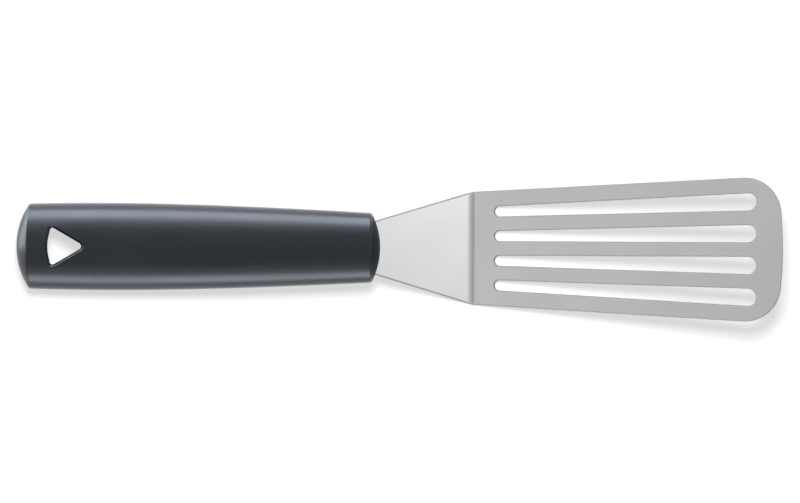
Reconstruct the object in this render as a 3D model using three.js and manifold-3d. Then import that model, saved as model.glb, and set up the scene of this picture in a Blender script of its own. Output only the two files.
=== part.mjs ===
// A slotted offset spatula: a cranked sheet-steel blade held in a moulded handle.
// Millimetres, +Z up, +X from the handle to the blade. It lies as it does when it is put down,
// on the heel of its blade and the butt of its handle, over the middle of its own footprint.

import * as THREE from "three";
import { mergeVertices } from "three/addons/utils/BufferGeometryUtils.js";
import Module from "manifold-3d";

const { degToRad } = THREE.MathUtils;

// Handle, along its axis from the top of the butt's dome
const HANDLE_LENGTH = 130;
const BUTT_WIDTH = 30.35;
const BUTT_THICKNESS = 19.6;
const BUTT_DOME = 4.55;
const BUTT_FLARE = degToRad(1.7);
const FRONT_WIDTH = 24.9;
const FRONT_DOME = 3.1;
const FRONT_TAPER = degToRad(3);
const FRONT_EDGE_ROUND = 0.75;

// Hang hole: a three-sided opening with a bowed back, its point towards the blade
const HOLE_BACK = 11.25;
const HOLE_LENGTH = 13.6;
const HOLE_WIDTH = 14.1;
const HOLE_BOW = 1.5;
const HOLE_BOW_RADIUS = 20;
const HOLE_CORNER_RADIUS = 0.9;
const HOLE_POINT_RADIUS = 1.25;

// Core, the first shot of the handle, moulded on the tang
const GRIP_WALL = 4;
const GRIP_FRONT_WALL = 12;
const HOLE_TO_CORE = 4;
const LOCK_GROOVES = 3;
const LOCK_GROOVE_WIDTH = 4;
const LOCK_GROOVE_DEPTH = 1.2;

// Sheet: tang, shoulder bend inside the handle's mouth, neck, heel bend and blade
const SHEET_THICKNESS = 1.6;
const BEND_RADIUS = 6;
const TANG_WIDTH = 14;
const TANG_COVER = 6;
const TANG_END_RADIUS = 3;
const TANG_WINDOWS = 3;
const TANG_WINDOW_DIAMETER = 7;
const SHOULDER_DEPTH = 5;
const NECK_LENGTH = 40.35;
const NECK_DROP = degToRad(25);
const NECK_WIDTH = 20.35;
const HEEL_WIDTH = 40.3;

// Blade, along its plane from the heel bend's corner
const BLADE_LENGTH = 114.3;
const BLADE_LIFT = degToRad(11);
const BLADE_FRONT_WIDTH = 52.85;
const FRONT_BOW_RADIUS = 140;
const FRONT_CORNER_RADIUS = 13.2;
const SLOTS = 4;
const SLOT_START = 8.8;
const SLOT_FRONT_BAND = 9.5;
const SLOT_END_RADIUS = 3;
const INNER_BAR = 5.2;
const OUTER_BAR = 5.65;

// Clearance between pieces that touch
const CLEARANCE = 0.3;

// Fineness of round stretches, the most of a side that one round corner takes, and the same point
const HANDLE_SIDES = 48;
const FLANK_STEPS = 14;
const CURVE_STEPS = 6;
const BEND_STEPS = 6;
const CORNER_SHARE = 0.49;
const SAME_POINT = 1e-6;

const flatness = BUTT_THICKNESS / BUTT_WIDTH;
const heelAngle = NECK_DROP + BLADE_LIFT;

const wasm = await Module();
wasm.setup();

// Solids

function toSolid(geometry) {
  const bare = geometry.clone();
  bare.deleteAttribute("normal");
  bare.deleteAttribute("uv");
  const merged = mergeVertices(bare);
  const triangles = [];
  for (let i = 0; i < merged.index.count; i += 3) {
    const [a, b, c] = [0, 1, 2].map((k) => merged.index.getX(i + k));
    if (a !== b && b !== c && c !== a) triangles.push(a, b, c);
  }
  return new wasm.Manifold(
    new wasm.Mesh({
      numProp: 3,
      vertProperties: new Float32Array(merged.attributes.position.array),
      triVerts: new Uint32Array(triangles),
    }),
  );
}

function toGeometry(solid) {
  const { vertProperties, triVerts } = solid.getMesh();
  const geometry = new THREE.BufferGeometry();
  geometry.setAttribute("position", new THREE.BufferAttribute(vertProperties, 3));
  geometry.setIndex(new THREE.BufferAttribute(triVerts, 1));
  geometry.computeVertexNormals();
  return geometry;
}

function mesh(name, solid, look) {
  const piece = new THREE.Mesh(toGeometry(solid), new THREE.MeshStandardMaterial(look));
  piece.name = name;
  return piece;
}

// Outlines

// A closed path through corners { x, y, radius }, each rounded by an arc that its sides have room for
function roundedPath(corners, path = new THREE.Path()) {
  const count = corners.length;
  corners.forEach((corner, i) => {
    const here = new THREE.Vector2(corner.x, corner.y);
    const toPrevious = new THREE.Vector2().copy(corners[(i + count - 1) % count]).sub(here);
    const toNext = new THREE.Vector2().copy(corners[(i + 1) % count]).sub(here);
    const room = CORNER_SHARE * Math.min(toPrevious.length(), toNext.length());
    toPrevious.normalize();
    toNext.normalize();
    const half = Math.acos(toPrevious.dot(toNext)) / 2;
    const cut = Math.min(corner.radius / Math.tan(half), room);
    const radius = cut * Math.tan(half);
    const inward = toPrevious.clone().add(toNext).normalize();
    const centre = here.clone().addScaledVector(inward, radius / Math.sin(half));
    const start = here.clone().addScaledVector(toPrevious, cut).sub(centre).angle();
    const end = here.clone().addScaledVector(toNext, cut).sub(centre).angle();
    path.absarc(centre.x, centre.y, radius, start, end, toPrevious.cross(toNext) > 0);
  });
  path.closePath();
  return path;
}

function withoutRepeats(points) {
  return points.filter((point, i) => i === 0 || point.distanceTo(points[i - 1]) > SAME_POINT);
}

// A solid of revolution about X from a profile of (distance along X, radius), flattened in Z
function flattenedLathe(profile) {
  const turned = profile.map((point) => new THREE.Vector2(Math.max(point.y, 0), point.x));
  const geometry = new THREE.LatheGeometry(turned, HANDLE_SIDES);
  geometry.rotateZ(-Math.PI / 2);
  geometry.scale(1, 1, flatness);
  return toSolid(geometry);
}

// Handle

const flankStart = new THREE.Vector2(BUTT_DOME, BUTT_WIDTH / 2);
const flankEnd = new THREE.Vector2(HANDLE_LENGTH - FRONT_DOME, FRONT_WIDTH / 2);
const flankReach = (flankEnd.x - flankStart.x) / 3;
const flank = new THREE.CubicBezierCurve(
  flankStart,
  new THREE.Vector2(flankStart.x + flankReach, flankStart.y + flankReach * Math.tan(BUTT_FLARE)),
  new THREE.Vector2(flankEnd.x - flankReach, flankEnd.y + flankReach * Math.tan(FRONT_TAPER)),
  flankEnd,
);

// The flank's control points are evenly spaced along X, so its parameter is linear in X
function flankAt(x) {
  return flank.getPoint((x - flankStart.x) / (flankEnd.x - flankStart.x));
}

function flankBetween(from, to) {
  const steps = Array.from({ length: FLANK_STEPS + 1 }, (_, i) => i / FLANK_STEPS);
  return steps.map((share) => flankAt(THREE.MathUtils.lerp(from, to, share)));
}

function domeRadius(halfWidth, height) {
  return (halfWidth ** 2 + height ** 2) / (2 * height);
}

function handleBody() {
  const buttRadius = domeRadius(flankStart.y, BUTT_DOME);
  const buttAngle = Math.asin(flankStart.y / buttRadius);
  const butt = new THREE.EllipseCurve(
    buttRadius, 0, buttRadius, buttRadius, Math.PI, Math.PI - buttAngle, true,
  );
  const frontRadius = domeRadius(flankEnd.y, FRONT_DOME);
  const frontCentre = HANDLE_LENGTH - frontRadius;
  const frontAngle = Math.asin(flankEnd.y / frontRadius) - FRONT_EDGE_ROUND / frontRadius;
  const front = new THREE.EllipseCurve(
    frontCentre, 0, frontRadius, frontRadius, frontAngle, 0, true,
  );
  const edgeStart = flankAt(flankEnd.x - FRONT_EDGE_ROUND);
  const edge = new THREE.QuadraticBezierCurve(edgeStart, flankEnd, front.getPoint(0));
  return flattenedLathe(withoutRepeats([
    ...butt.getPoints(CURVE_STEPS),
    ...flankBetween(flankStart.x, edgeStart.x),
    ...edge.getPoints(CURVE_STEPS),
    ...front.getPoints(CURVE_STEPS),
  ]));
}

const holePoint = HOLE_BACK + HOLE_LENGTH;

function hangHole() {
  const outline = roundedPath([
    { x: holePoint, y: 0, radius: HOLE_POINT_RADIUS },
    { x: HOLE_BACK + HOLE_BOW, y: HOLE_WIDTH / 2, radius: HOLE_CORNER_RADIUS },
    { x: HOLE_BACK, y: 0, radius: HOLE_BOW_RADIUS },
    { x: HOLE_BACK + HOLE_BOW, y: -HOLE_WIDTH / 2, radius: HOLE_CORNER_RADIUS },
  ], new THREE.Shape());
  const depth = 2 * BUTT_THICKNESS;
  const geometry = new THREE.ExtrudeGeometry(outline, {
    depth, bevelEnabled: false, curveSegments: CURVE_STEPS / 2,
  });
  geometry.translate(0, 0, -depth / 2);
  return toSolid(geometry);
}

const coreBack = holePoint + HOLE_TO_CORE;
const coreFront = HANDLE_LENGTH - GRIP_FRONT_WALL;

// The core follows the handle's flank under an even wall, with locking grooves all round it.
// Grown by a clearance, it is the hollow that the grip keeps for it.
function coreBody(grow) {
  const bare = (point) => new THREE.Vector2(point.x, point.y - GRIP_WALL + grow / flatness);
  const ends = [coreBack - grow, coreFront + grow];
  const grooveHalf = LOCK_GROOVE_WIDTH / 2 - grow;
  const profile = [new THREE.Vector2(ends[0], 0), bare(flankAt(ends[0]))];
  for (let i = 0; i < LOCK_GROOVES; i += 1) {
    const middle = THREE.MathUtils.lerp(coreBack, coreFront, (i + 0.5) / LOCK_GROOVES);
    const walls = [middle - grooveHalf, middle + grooveHalf].map((x) => bare(flankAt(x)));
    const floor = walls.map((wall) => new THREE.Vector2(wall.x, wall.y - LOCK_GROOVE_DEPTH));
    profile.push(walls[0], floor[0], floor[1], walls[1]);
  }
  profile.push(bare(flankAt(ends[1])), new THREE.Vector2(ends[1], 0));
  return flattenedLathe(profile);
}

// Sheet, laid out flat: s runs along the metal, y across it and n through it

const shoulderX = HANDLE_LENGTH - SHOULDER_DEPTH;
const tangX = coreBack + TANG_COVER;
const shoulderSetback = BEND_RADIUS * Math.tan(NECK_DROP / 2);
const heelSetback = BEND_RADIUS * Math.tan(heelAngle / 2);

const stretches = [
  { length: shoulderX - shoulderSetback - tangX, bend: 0 },
  { length: BEND_RADIUS * NECK_DROP, bend: -NECK_DROP },
  { length: NECK_LENGTH - shoulderSetback - heelSetback, bend: 0 },
  { length: BEND_RADIUS * heelAngle, bend: heelAngle },
  { length: BLADE_LENGTH - heelSetback, bend: 0 },
];

// The mid-line's place and heading at a distance into one stretch
function along(stretch, distance) {
  const { x, z, heading, length, bend } = stretch;
  if (bend === 0) {
    const place = { x: x + distance * Math.cos(heading), z: z + distance * Math.sin(heading) };
    return { ...place, heading };
  }
  const radius = length / bend;
  const turned = heading + distance / radius;
  return {
    x: x + radius * (Math.sin(turned) - Math.sin(heading)),
    z: z - radius * (Math.cos(turned) - Math.cos(heading)),
    heading: turned,
  };
}

stretches.reduce((start, stretch) => {
  Object.assign(stretch, start);
  return { ...along(stretch, stretch.length), s: start.s + stretch.length };
}, { x: tangX, z: 0, heading: 0, s: 0 });

const [tangFlat, shoulderBend, neckFlat, heelBend, bladeFlat] = stretches;

function fold(s, y, n) {
  const stretch = stretches.findLast((each) => s >= each.s) ?? tangFlat;
  const { x, z, heading } = along(stretch, s - stretch.s);
  return new THREE.Vector3(x - n * Math.sin(heading), y, z + n * Math.cos(heading));
}

const mouthReach = SHOULDER_DEPTH / Math.cos(NECK_DROP);
const neckSpread = (HEEL_WIDTH - NECK_WIDTH) / 2 / (NECK_LENGTH - mouthReach);
const bladeSpread = (BLADE_FRONT_WIDTH - HEEL_WIDTH) / 2 / BLADE_LENGTH;

// Half widths of the neck and the blade at a distance from the heel's corner
const neckHalf = (back) => HEEL_WIDTH / 2 - back * neckSpread;
const bladeHalf = (ahead) => HEEL_WIDTH / 2 + ahead * bladeSpread;

const shoulderHalf = neckHalf(NECK_LENGTH + shoulderSetback);
const bladeS = (ahead) => bladeFlat.s + ahead - heelSetback;

function tangOutline(grow) {
  const taper = (shoulderHalf - TANG_WIDTH / 2) / neckSpread;
  const half = TANG_WIDTH / 2 + grow;
  const [end, narrow, seam] = [-grow, shoulderBend.s - taper, shoulderBend.s];
  const shape = new THREE.Shape();
  shape.moveTo(seam, -shoulderHalf - grow);
  shape.lineTo(seam, shoulderHalf + grow);
  shape.lineTo(narrow, half);
  shape.lineTo(end + TANG_END_RADIUS, half);
  shape.absarc(
    end + TANG_END_RADIUS, half - TANG_END_RADIUS, TANG_END_RADIUS, Math.PI / 2, Math.PI, false,
  );
  shape.absarc(
    end + TANG_END_RADIUS, TANG_END_RADIUS - half, TANG_END_RADIUS, Math.PI, 1.5 * Math.PI, false,
  );
  shape.lineTo(narrow, -half);
  for (let i = 0; i < TANG_WINDOWS; i += 1) {
    const s = (narrow * (i + 0.5)) / TANG_WINDOWS;
    const window = new THREE.Path();
    window.absarc(s, 0, TANG_WINDOW_DIAMETER / 2 - grow, 0, 2 * Math.PI, true);
    shape.holes.push(window);
  }
  return shape;
}

function neckOutline(grow) {
  const [back, front] = [neckFlat.s, heelBend.s];
  const wide = neckHalf(heelSetback) + grow;
  const narrow = neckHalf(NECK_LENGTH - shoulderSetback) + grow;
  const shape = new THREE.Shape();
  shape.moveTo(back, -narrow);
  shape.lineTo(front, -wide);
  shape.lineTo(front, wide);
  shape.lineTo(back, narrow);
  return shape;
}

// The four slots share what the bars leave of the blade's width, so they fan out with it
function slotOutline(index, grow) {
  const slotEdge = (ahead, side) => {
    const width = (2 * bladeHalf(ahead) - 2 * OUTER_BAR - (SLOTS - 1) * INNER_BAR) / SLOTS;
    const low = OUTER_BAR - bladeHalf(ahead) + index * (width + INNER_BAR);
    return side < 0 ? low + grow : low + width - grow;
  };
  const [start, end] = [SLOT_START + grow, BLADE_LENGTH - SLOT_FRONT_BAND - grow];
  const corner = (ahead, side) => (
    { x: bladeS(ahead), y: slotEdge(ahead, side), radius: SLOT_END_RADIUS }
  );
  return roundedPath([corner(start, -1), corner(end, -1), corner(end, 1), corner(start, 1)]);
}

// Straight flaring sides, a bowed front edge and a round corner tangent to both
function bladeOutline(grow) {
  const bowCentre = BLADE_LENGTH - FRONT_BOW_RADIUS;
  const sideAngle = Math.atan(bladeSpread);
  const inset = bladeHalf(0) - FRONT_CORNER_RADIUS / Math.cos(sideAngle);
  const slope = 1 + bladeSpread ** 2;
  const middle = inset * bladeSpread - bowCentre;
  const gap = bowCentre ** 2 + inset ** 2 - (FRONT_BOW_RADIUS - FRONT_CORNER_RADIUS) ** 2;
  const cornerX = (Math.sqrt(middle ** 2 - slope * gap) - middle) / slope;
  const cornerY = inset + bladeSpread * cornerX;
  const bowAngle = Math.atan2(cornerY, cornerX - bowCentre);
  const sideNormal = Math.PI / 2 + sideAngle;
  const seam = bladeFlat.s;
  const half = bladeHalf(heelSetback) + grow;
  const radius = FRONT_CORNER_RADIUS + grow;
  const shape = new THREE.Shape();
  shape.moveTo(seam, half);
  shape.lineTo(seam, -half);
  shape.absarc(bladeS(cornerX), -cornerY, radius, -sideNormal, -bowAngle, false);
  shape.absarc(bladeS(bowCentre), 0, FRONT_BOW_RADIUS + grow, -bowAngle, bowAngle, false);
  shape.absarc(bladeS(cornerX), cornerY, radius, bowAngle, sideNormal, false);
  for (let i = 0; i < SLOTS; i += 1) shape.holes.push(slotOutline(i, grow));
  return shape;
}

// The folded sheet as one closed skin: flat panels with cut edges, joined by strips that bend.
// Grown by a clearance, it is the socket that the handle keeps for it.
function sheetBody(grow) {
  const skin = SHEET_THICKNESS / 2 + grow;
  const corners = [];
  const triangle = (...points) => points.forEach(([s, y, n]) => corners.push(fold(s, y, n)));
  const quad = (a, b, c, d) => {
    triangle(a, b, c);
    triangle(a, c, d);
  };
  const wall = (a, b) => quad(
    [a.x, a.y, -skin], [b.x, b.y, -skin], [b.x, b.y, skin], [a.x, a.y, skin],
  );

  const panel = (outline, seams) => {
    const drawn = outline.extractPoints(CURVE_STEPS);
    const turn = (loop, clockwise) => {
      const clean = withoutRepeats(loop);
      if (clean[0].distanceTo(clean.at(-1)) < SAME_POINT) clean.pop();
      return THREE.ShapeUtils.isClockWise(clean) === clockwise ? clean : clean.reverse();
    };
    const contour = turn(drawn.shape, false);
    const holes = drawn.holes.map((hole) => turn(hole, true));
    const points = [contour, ...holes].flat();
    THREE.ShapeUtils.triangulateShape(contour, holes).forEach((face) => {
      const [a, b, c] = face.map((i) => points[i]);
      const ordered = b.clone().sub(a).cross(c.clone().sub(a)) > 0 ? [a, b, c] : [a, c, b];
      triangle(...ordered.map((point) => [point.x, point.y, skin]));
      triangle(...ordered.reverse().map((point) => [point.x, point.y, -skin]));
    });
    [contour, ...holes].forEach((loop) => loop.forEach((a, i) => {
      const b = loop[(i + 1) % loop.length];
      if (!seams.some((s) => a.x === s && b.x === s)) wall(a, b);
    }));
  };

  const strip = (bend, startHalf, endHalf) => {
    const station = (i) => {
      const half = THREE.MathUtils.lerp(startHalf, endHalf, i / BEND_STEPS) + grow;
      return { s: bend.s + (bend.length * i) / BEND_STEPS, half };
    };
    for (let i = 0; i < BEND_STEPS; i += 1) {
      const [from, to] = [station(i), station(i + 1)];
      const loop = [
        new THREE.Vector2(from.s, -from.half),
        new THREE.Vector2(to.s, -to.half),
        new THREE.Vector2(to.s, to.half),
        new THREE.Vector2(from.s, from.half),
      ];
      quad(...loop.map((point) => [point.x, point.y, skin]));
      quad(...loop.toReversed().map((point) => [point.x, point.y, -skin]));
      wall(loop[0], loop[1]);
      wall(loop[2], loop[3]);
    }
  };

  panel(tangOutline(grow), [shoulderBend.s]);
  strip(shoulderBend, shoulderHalf, neckHalf(NECK_LENGTH - shoulderSetback));
  panel(neckOutline(grow), [neckFlat.s, heelBend.s]);
  strip(heelBend, neckHalf(heelSetback), bladeHalf(heelSetback));
  panel(bladeOutline(grow), [bladeFlat.s]);
  return toSolid(new THREE.BufferGeometry().setFromPoints(corners));
}

// Pieces

const socket = sheetBody(CLEARANCE);

function slottedBlade() {
  const steel = { color: 0xb9bcc0, metalness: 1, roughness: 0.35 };
  return mesh("slotted_blade", sheetBody(0), steel);
}

function handleCore() {
  const core = coreBody(0).subtract(socket);
  return mesh("handle_core", core, { color: 0x8b8d8c, metalness: 0, roughness: 0.6 });
}

function handleGrip() {
  const grip = handleBody().subtract(coreBody(CLEARANCE)).subtract(socket).subtract(hangHole());
  return mesh("handle_grip", grip, { color: 0x2d3134, metalness: 0, roughness: 0.45 });
}

// Resting pose: the line that touches the heel's round and the butt's lower edge lies level

function restTilt() {
  const heelCentre = {
    x: heelBend.x - BEND_RADIUS * Math.sin(heelBend.heading),
    z: heelBend.z + BEND_RADIUS * Math.cos(heelBend.heading),
  };
  const run = heelCentre.x - BUTT_DOME;
  const rise = heelCentre.z + BUTT_THICKNESS / 2;
  const heelRadius = BEND_RADIUS + SHEET_THICKNESS / 2;
  return Math.asin(heelRadius / Math.hypot(run, rise)) - Math.atan2(rise, run);
}

const spatula = new THREE.Group();
spatula.add(slottedBlade(), handleCore(), handleGrip());
spatula.rotation.y = -restTilt();
spatula.updateMatrixWorld(true);

const footprint = new THREE.Box3().setFromObject(spatula, true);
spatula.position.set(-(footprint.min.x + footprint.max.x) / 2, 0, -footprint.min.z);

const part = new THREE.Group();
part.add(spatula);

export default part;
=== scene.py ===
"""A slotted offset spatula: a folded satin steel sheet held in a black moulded handle.

Sizes are millimetres in the handle's own frame, where x runs along the handle's axis from the top of
the butt, y points to the left and z up. RestPose lays that frame down the way the part lies and turns
it into metres.
"""

import logging
import math
from dataclasses import dataclass, field
from enum import Enum, IntEnum

import bmesh
import bpy
import numpy as np
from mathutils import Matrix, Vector
from mathutils.geometry import delaunay_2d_cdt
from numpy.typing import NDArray


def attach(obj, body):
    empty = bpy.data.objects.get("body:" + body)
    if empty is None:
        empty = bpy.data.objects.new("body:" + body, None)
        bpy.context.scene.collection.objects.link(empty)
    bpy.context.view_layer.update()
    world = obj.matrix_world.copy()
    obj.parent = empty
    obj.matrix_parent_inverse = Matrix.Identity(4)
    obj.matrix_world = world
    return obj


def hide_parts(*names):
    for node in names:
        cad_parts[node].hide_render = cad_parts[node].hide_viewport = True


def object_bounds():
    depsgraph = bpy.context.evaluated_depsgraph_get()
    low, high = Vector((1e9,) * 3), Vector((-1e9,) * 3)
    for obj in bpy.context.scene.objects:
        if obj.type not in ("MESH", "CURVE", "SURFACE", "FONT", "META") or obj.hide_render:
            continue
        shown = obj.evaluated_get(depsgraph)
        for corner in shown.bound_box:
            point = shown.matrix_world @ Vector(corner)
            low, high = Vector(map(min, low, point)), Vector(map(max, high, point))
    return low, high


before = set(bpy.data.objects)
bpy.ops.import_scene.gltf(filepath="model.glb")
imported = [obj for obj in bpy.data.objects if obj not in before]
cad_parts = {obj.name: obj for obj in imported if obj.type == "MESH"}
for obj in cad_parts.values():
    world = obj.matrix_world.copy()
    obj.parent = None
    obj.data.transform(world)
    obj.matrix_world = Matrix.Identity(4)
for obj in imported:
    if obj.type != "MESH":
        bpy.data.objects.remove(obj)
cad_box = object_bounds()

Floats = NDArray[np.float64]
Ints = NDArray[np.int64]

MM = 0.001
BODY = "root"
SENSOR_WIDTH_MM = 36.0
CLIP_END_MM = 100_000.0
DEFAULT_GLOSS = 0.5  # the shader's own specular level
MIX_A, MIX_B, MIX_RESULT = 6, 7, 2  # a Mix node's colour sockets, whose names repeat
INSIDE_BORDERS = 2  # the triangulation's output: triangles inside every border, holes too
SAME_POINT_MM = 1e-7

log = logging.getLogger("spatula")


class Slot(Enum):
    """The record's material slots."""

    STEEL = "blade_steel"
    CORE = "core_plastic"
    GRIP = "grip_plastic"


class LightUse(Enum):
    """What a lamp is for: gloss on shiny surfaces, or plain light and its shadow."""

    SHINE = "shine"
    SHADE = "shade"


class ShownOn(Enum):
    """The piece that a lamp shows on, as flags in a studio keep it off the others."""

    ALL = "all"
    BLADE = "slotted_blade_sheet"
    GRIP = "moulded_handle_grip"


class Stretch(IntEnum):
    """The folded sheet's stretches, in order from the tang's end."""

    TANG = 0
    SHOULDER = 1
    NECK = 2
    HEEL_NECK = 3
    HEEL_BLADE = 4
    BLADE = 5


def srgb(colour: str) -> tuple[float, float, float, float]:
    """Turn an sRGB hex colour into linear red, green, blue and alpha.

    Args:
        colour: six hex digits after a #.

    Returns:
        Linear channels with an alpha of 1.
    """
    channels = np.array([int(colour[i:i + 2], 16) for i in (1, 3, 5)]) / 255.0
    low = channels / 12.92
    high = ((channels + 0.055) / 1.055) ** 2.4
    return (*np.where(channels <= 0.04045, low, high).tolist(), 1.0)


def add_node(
    tree: bpy.types.NodeTree, kind: str, inputs: dict | None = None, **settings: object
) -> bpy.types.Node:
    """Add a node with its settings, and set or link its inputs.

    Args:
        tree: the node tree that gets the node.
        kind: the node's type name.
        inputs: socket name or number, with a value to set or an output socket to link.
        settings: the node's own properties.

    Returns:
        The new node.
    """
    node = tree.nodes.new(kind)
    for name, value in settings.items():
        setattr(node, name, value)
    for name, value in (inputs or {}).items():
        if isinstance(value, bpy.types.NodeSocket):
            tree.links.new(value, node.inputs[name])
        else:
            node.inputs[name].default_value = value
    return node


def new_material(name: str) -> tuple[bpy.types.Material, bpy.types.NodeTree]:
    """Make an empty node material.

    Args:
        name: the material's name.

    Returns:
        The material and its node tree.
    """
    material = bpy.data.materials.new(name)
    material.use_nodes = True
    material.node_tree.nodes.clear()
    return material, material.node_tree


def rounded_loop(corners: Floats, radii: Floats, steps: int) -> Floats:
    """Round every corner of a closed polygon with an arc that touches both sides.

    The arc's tangent points lie radius / tan(half angle) from the corner, but never past the middle
    of a side, and its points turn evenly from the one normal to the other.

    Args:
        corners: polygon corners, one row of two each.
        radii: the radius at each corner.
        steps: arc steps at each corner.

    Returns:
        The loop's points in the corners' order.
    """
    room_share = 0.49
    back = np.roll(corners, 1, 0) - corners
    ahead = np.roll(corners, -1, 0) - corners
    room = room_share * np.minimum(np.linalg.norm(back, axis=1), np.linalg.norm(ahead, axis=1))
    back /= np.linalg.norm(back, axis=1, keepdims=True)
    ahead /= np.linalg.norm(ahead, axis=1, keepdims=True)
    half = np.arccos(np.sum(back * ahead, axis=1)) / 2
    cut = np.minimum(radii / np.tan(half), room)
    radius = cut * np.tan(half)
    inward = back + ahead
    inward /= np.linalg.norm(inward, axis=1, keepdims=True)
    centre = corners + inward * (radius / np.sin(half))[:, None]
    start = corners + back * cut[:, None] - centre
    end = corners + ahead * cut[:, None] - centre
    first = np.arctan2(start[:, 1], start[:, 0])
    turn = np.arctan2(start[:, 0] * end[:, 1] - start[:, 1] * end[:, 0], np.sum(start * end, axis=1))
    angle = first[:, None] + turn[:, None] * np.linspace(0, 1, steps + 1)
    points = centre[:, None] + radius[:, None, None] * np.stack([np.cos(angle), np.sin(angle)], -1)
    return points.reshape(-1, 2)


def arc(centre: tuple[float, float], radius: float, start: float, end: float, steps: int) -> Floats:
    """Points of a circular arc from one angle to another, both ends included.

    Args:
        centre: the arc's centre.
        radius: its radius.
        start: its first angle in radians.
        end: its last angle.
        steps: the number of steps.

    Returns:
        Rows of two coordinates.
    """
    angle = np.linspace(start, end, steps + 1)
    return np.asarray(centre) + radius * np.stack([np.cos(angle), np.sin(angle)], -1)


def evenly(loop: Floats, count: int) -> Floats:
    """Take evenly spaced points from a closed loop.

    Args:
        loop: rows of two coordinates.
        count: how many points are taken.

    Returns:
        The points, from the loop's first one on.
    """
    closed = np.concatenate([loop, loop[:1]])
    length = np.append(0, np.cumsum(np.linalg.norm(np.diff(closed, axis=0), axis=1)))
    place = np.linspace(0, length[-1], count, endpoint=False)
    return np.stack([np.interp(place, length, closed[:, k]) for k in (0, 1)], -1)


def curve_through(a: Floats, corner: Floats, b: Floats, steps: int) -> Floats:
    """Quadratic Bezier curve that rounds a corner between two points on its sides.

    Args:
        a: where the curve starts, one point or many.
        corner: the corner it rounds.
        b: where it ends.
        steps: the number of steps.

    Returns:
        The curve's points along the first axis, both ends included.
    """
    t = np.linspace(0, 1, steps + 1).reshape(-1, *np.ones(np.ndim(a), int))
    return (1 - t) ** 2 * a + 2 * t * (1 - t) * corner + t ** 2 * b


def offset(loop: Floats, distance: float) -> Floats:
    """Move a closed loop to its left by a distance.

    Each point moves along the sum of its two sides' unit normals over one plus their product, which
    keeps every side at that distance.

    Args:
        loop: rows of two coordinates.
        distance: how far the sides move.

    Returns:
        The moved loop, with as many points.
    """
    side = np.roll(loop, -1, 0) - loop
    side /= np.linalg.norm(side, axis=1, keepdims=True)
    normal = np.stack([-side[:, 1], side[:, 0]], -1)
    before = np.roll(normal, 1, 0)
    mitre = (normal + before) / (1 + np.sum(normal * before, axis=1, keepdims=True))
    return loop + distance * mitre


class Skin:
    """One closed surface, gathered patch by patch as arrays of points and faces."""

    def __init__(self) -> None:
        """Start with no points."""
        self.points: list[Floats] = []
        self.values: list[Floats] = []
        self.quads: list[Ints] = []
        self.triangles: list[Ints] = []
        self.count = 0

    def add(self, points: Floats, value: Floats | float = 0.0) -> Ints:
        """Add points of any grid shape.

        Args:
            points: an array whose last axis holds x, y and z.
            value: the points' value of the skin's attribute.

        Returns:
            The points' numbers, in the grid's shape.
        """
        shape = points.shape[:-1]
        numbers = np.arange(self.count, self.count + int(np.prod(shape))).reshape(shape)
        self.points.append(points.reshape(-1, 3))
        self.values.append(np.broadcast_to(value, shape).reshape(-1).astype(float))
        self.count += numbers.size
        return numbers

    def grid(self, rows: Ints, closed: bool = True, keep: NDArray[np.bool_] | None = None) -> None:
        """Join the points of a grid with four-sided faces.

        Args:
            rows: the points' numbers, row by row.
            closed: whether the last column joins the first.
            keep: which of the faces are made; all of them if it is left out.
        """
        across = np.concatenate([rows, rows[:, :1]], axis=1) if closed else rows
        faces = np.stack([across[:-1, :-1], across[:-1, 1:], across[1:, 1:], across[1:, :-1]], -1)
        self.quads.append((faces.reshape(-1, 4) if keep is None else faces[keep]).reshape(-1, 4))

    def fan(self, pole: int, ring: Ints) -> None:
        """Close a ring with triangles to one point."""
        self.triangles.append(np.stack([np.full_like(ring, pole), ring, np.roll(ring, -1)], -1))

    def mesh(self, name: str, attribute: str | None = None) -> bpy.types.Object:
        """Put the arrays into a smooth mesh whose faces point outwards.

        Args:
            name: the object's name.
            attribute: the name of a point attribute for the values, or none.

        Returns:
            The object, linked to the scene.
        """
        points = np.concatenate(self.points)
        quads = np.concatenate(self.quads)
        triangles = np.concatenate(self.triangles) if self.triangles else np.empty((0, 3), int)
        used, packed = np.unique(np.concatenate([quads.ravel(), triangles.ravel()]), return_inverse=True)
        quads = packed[:quads.size].reshape(-1, 4)
        triangles = packed[quads.size:].reshape(-1, 3)
        data = bpy.data.meshes.new(name)
        data.from_pydata(points[used].tolist(), [], quads.tolist() + triangles.tolist())
        work = bmesh.new()
        work.from_mesh(data)
        bmesh.ops.recalc_face_normals(work, faces=work.faces)
        work.to_mesh(data)
        work.free()
        if attribute:
            layer = data.attributes.new(attribute, "FLOAT", "POINT")
            layer.data.foreach_set("value", np.concatenate(self.values)[used].astype(np.float32))
        data.shade_smooth()
        data.update()
        piece = bpy.data.objects.new(name, data)
        bpy.context.scene.collection.objects.link(piece)
        return piece


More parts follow.
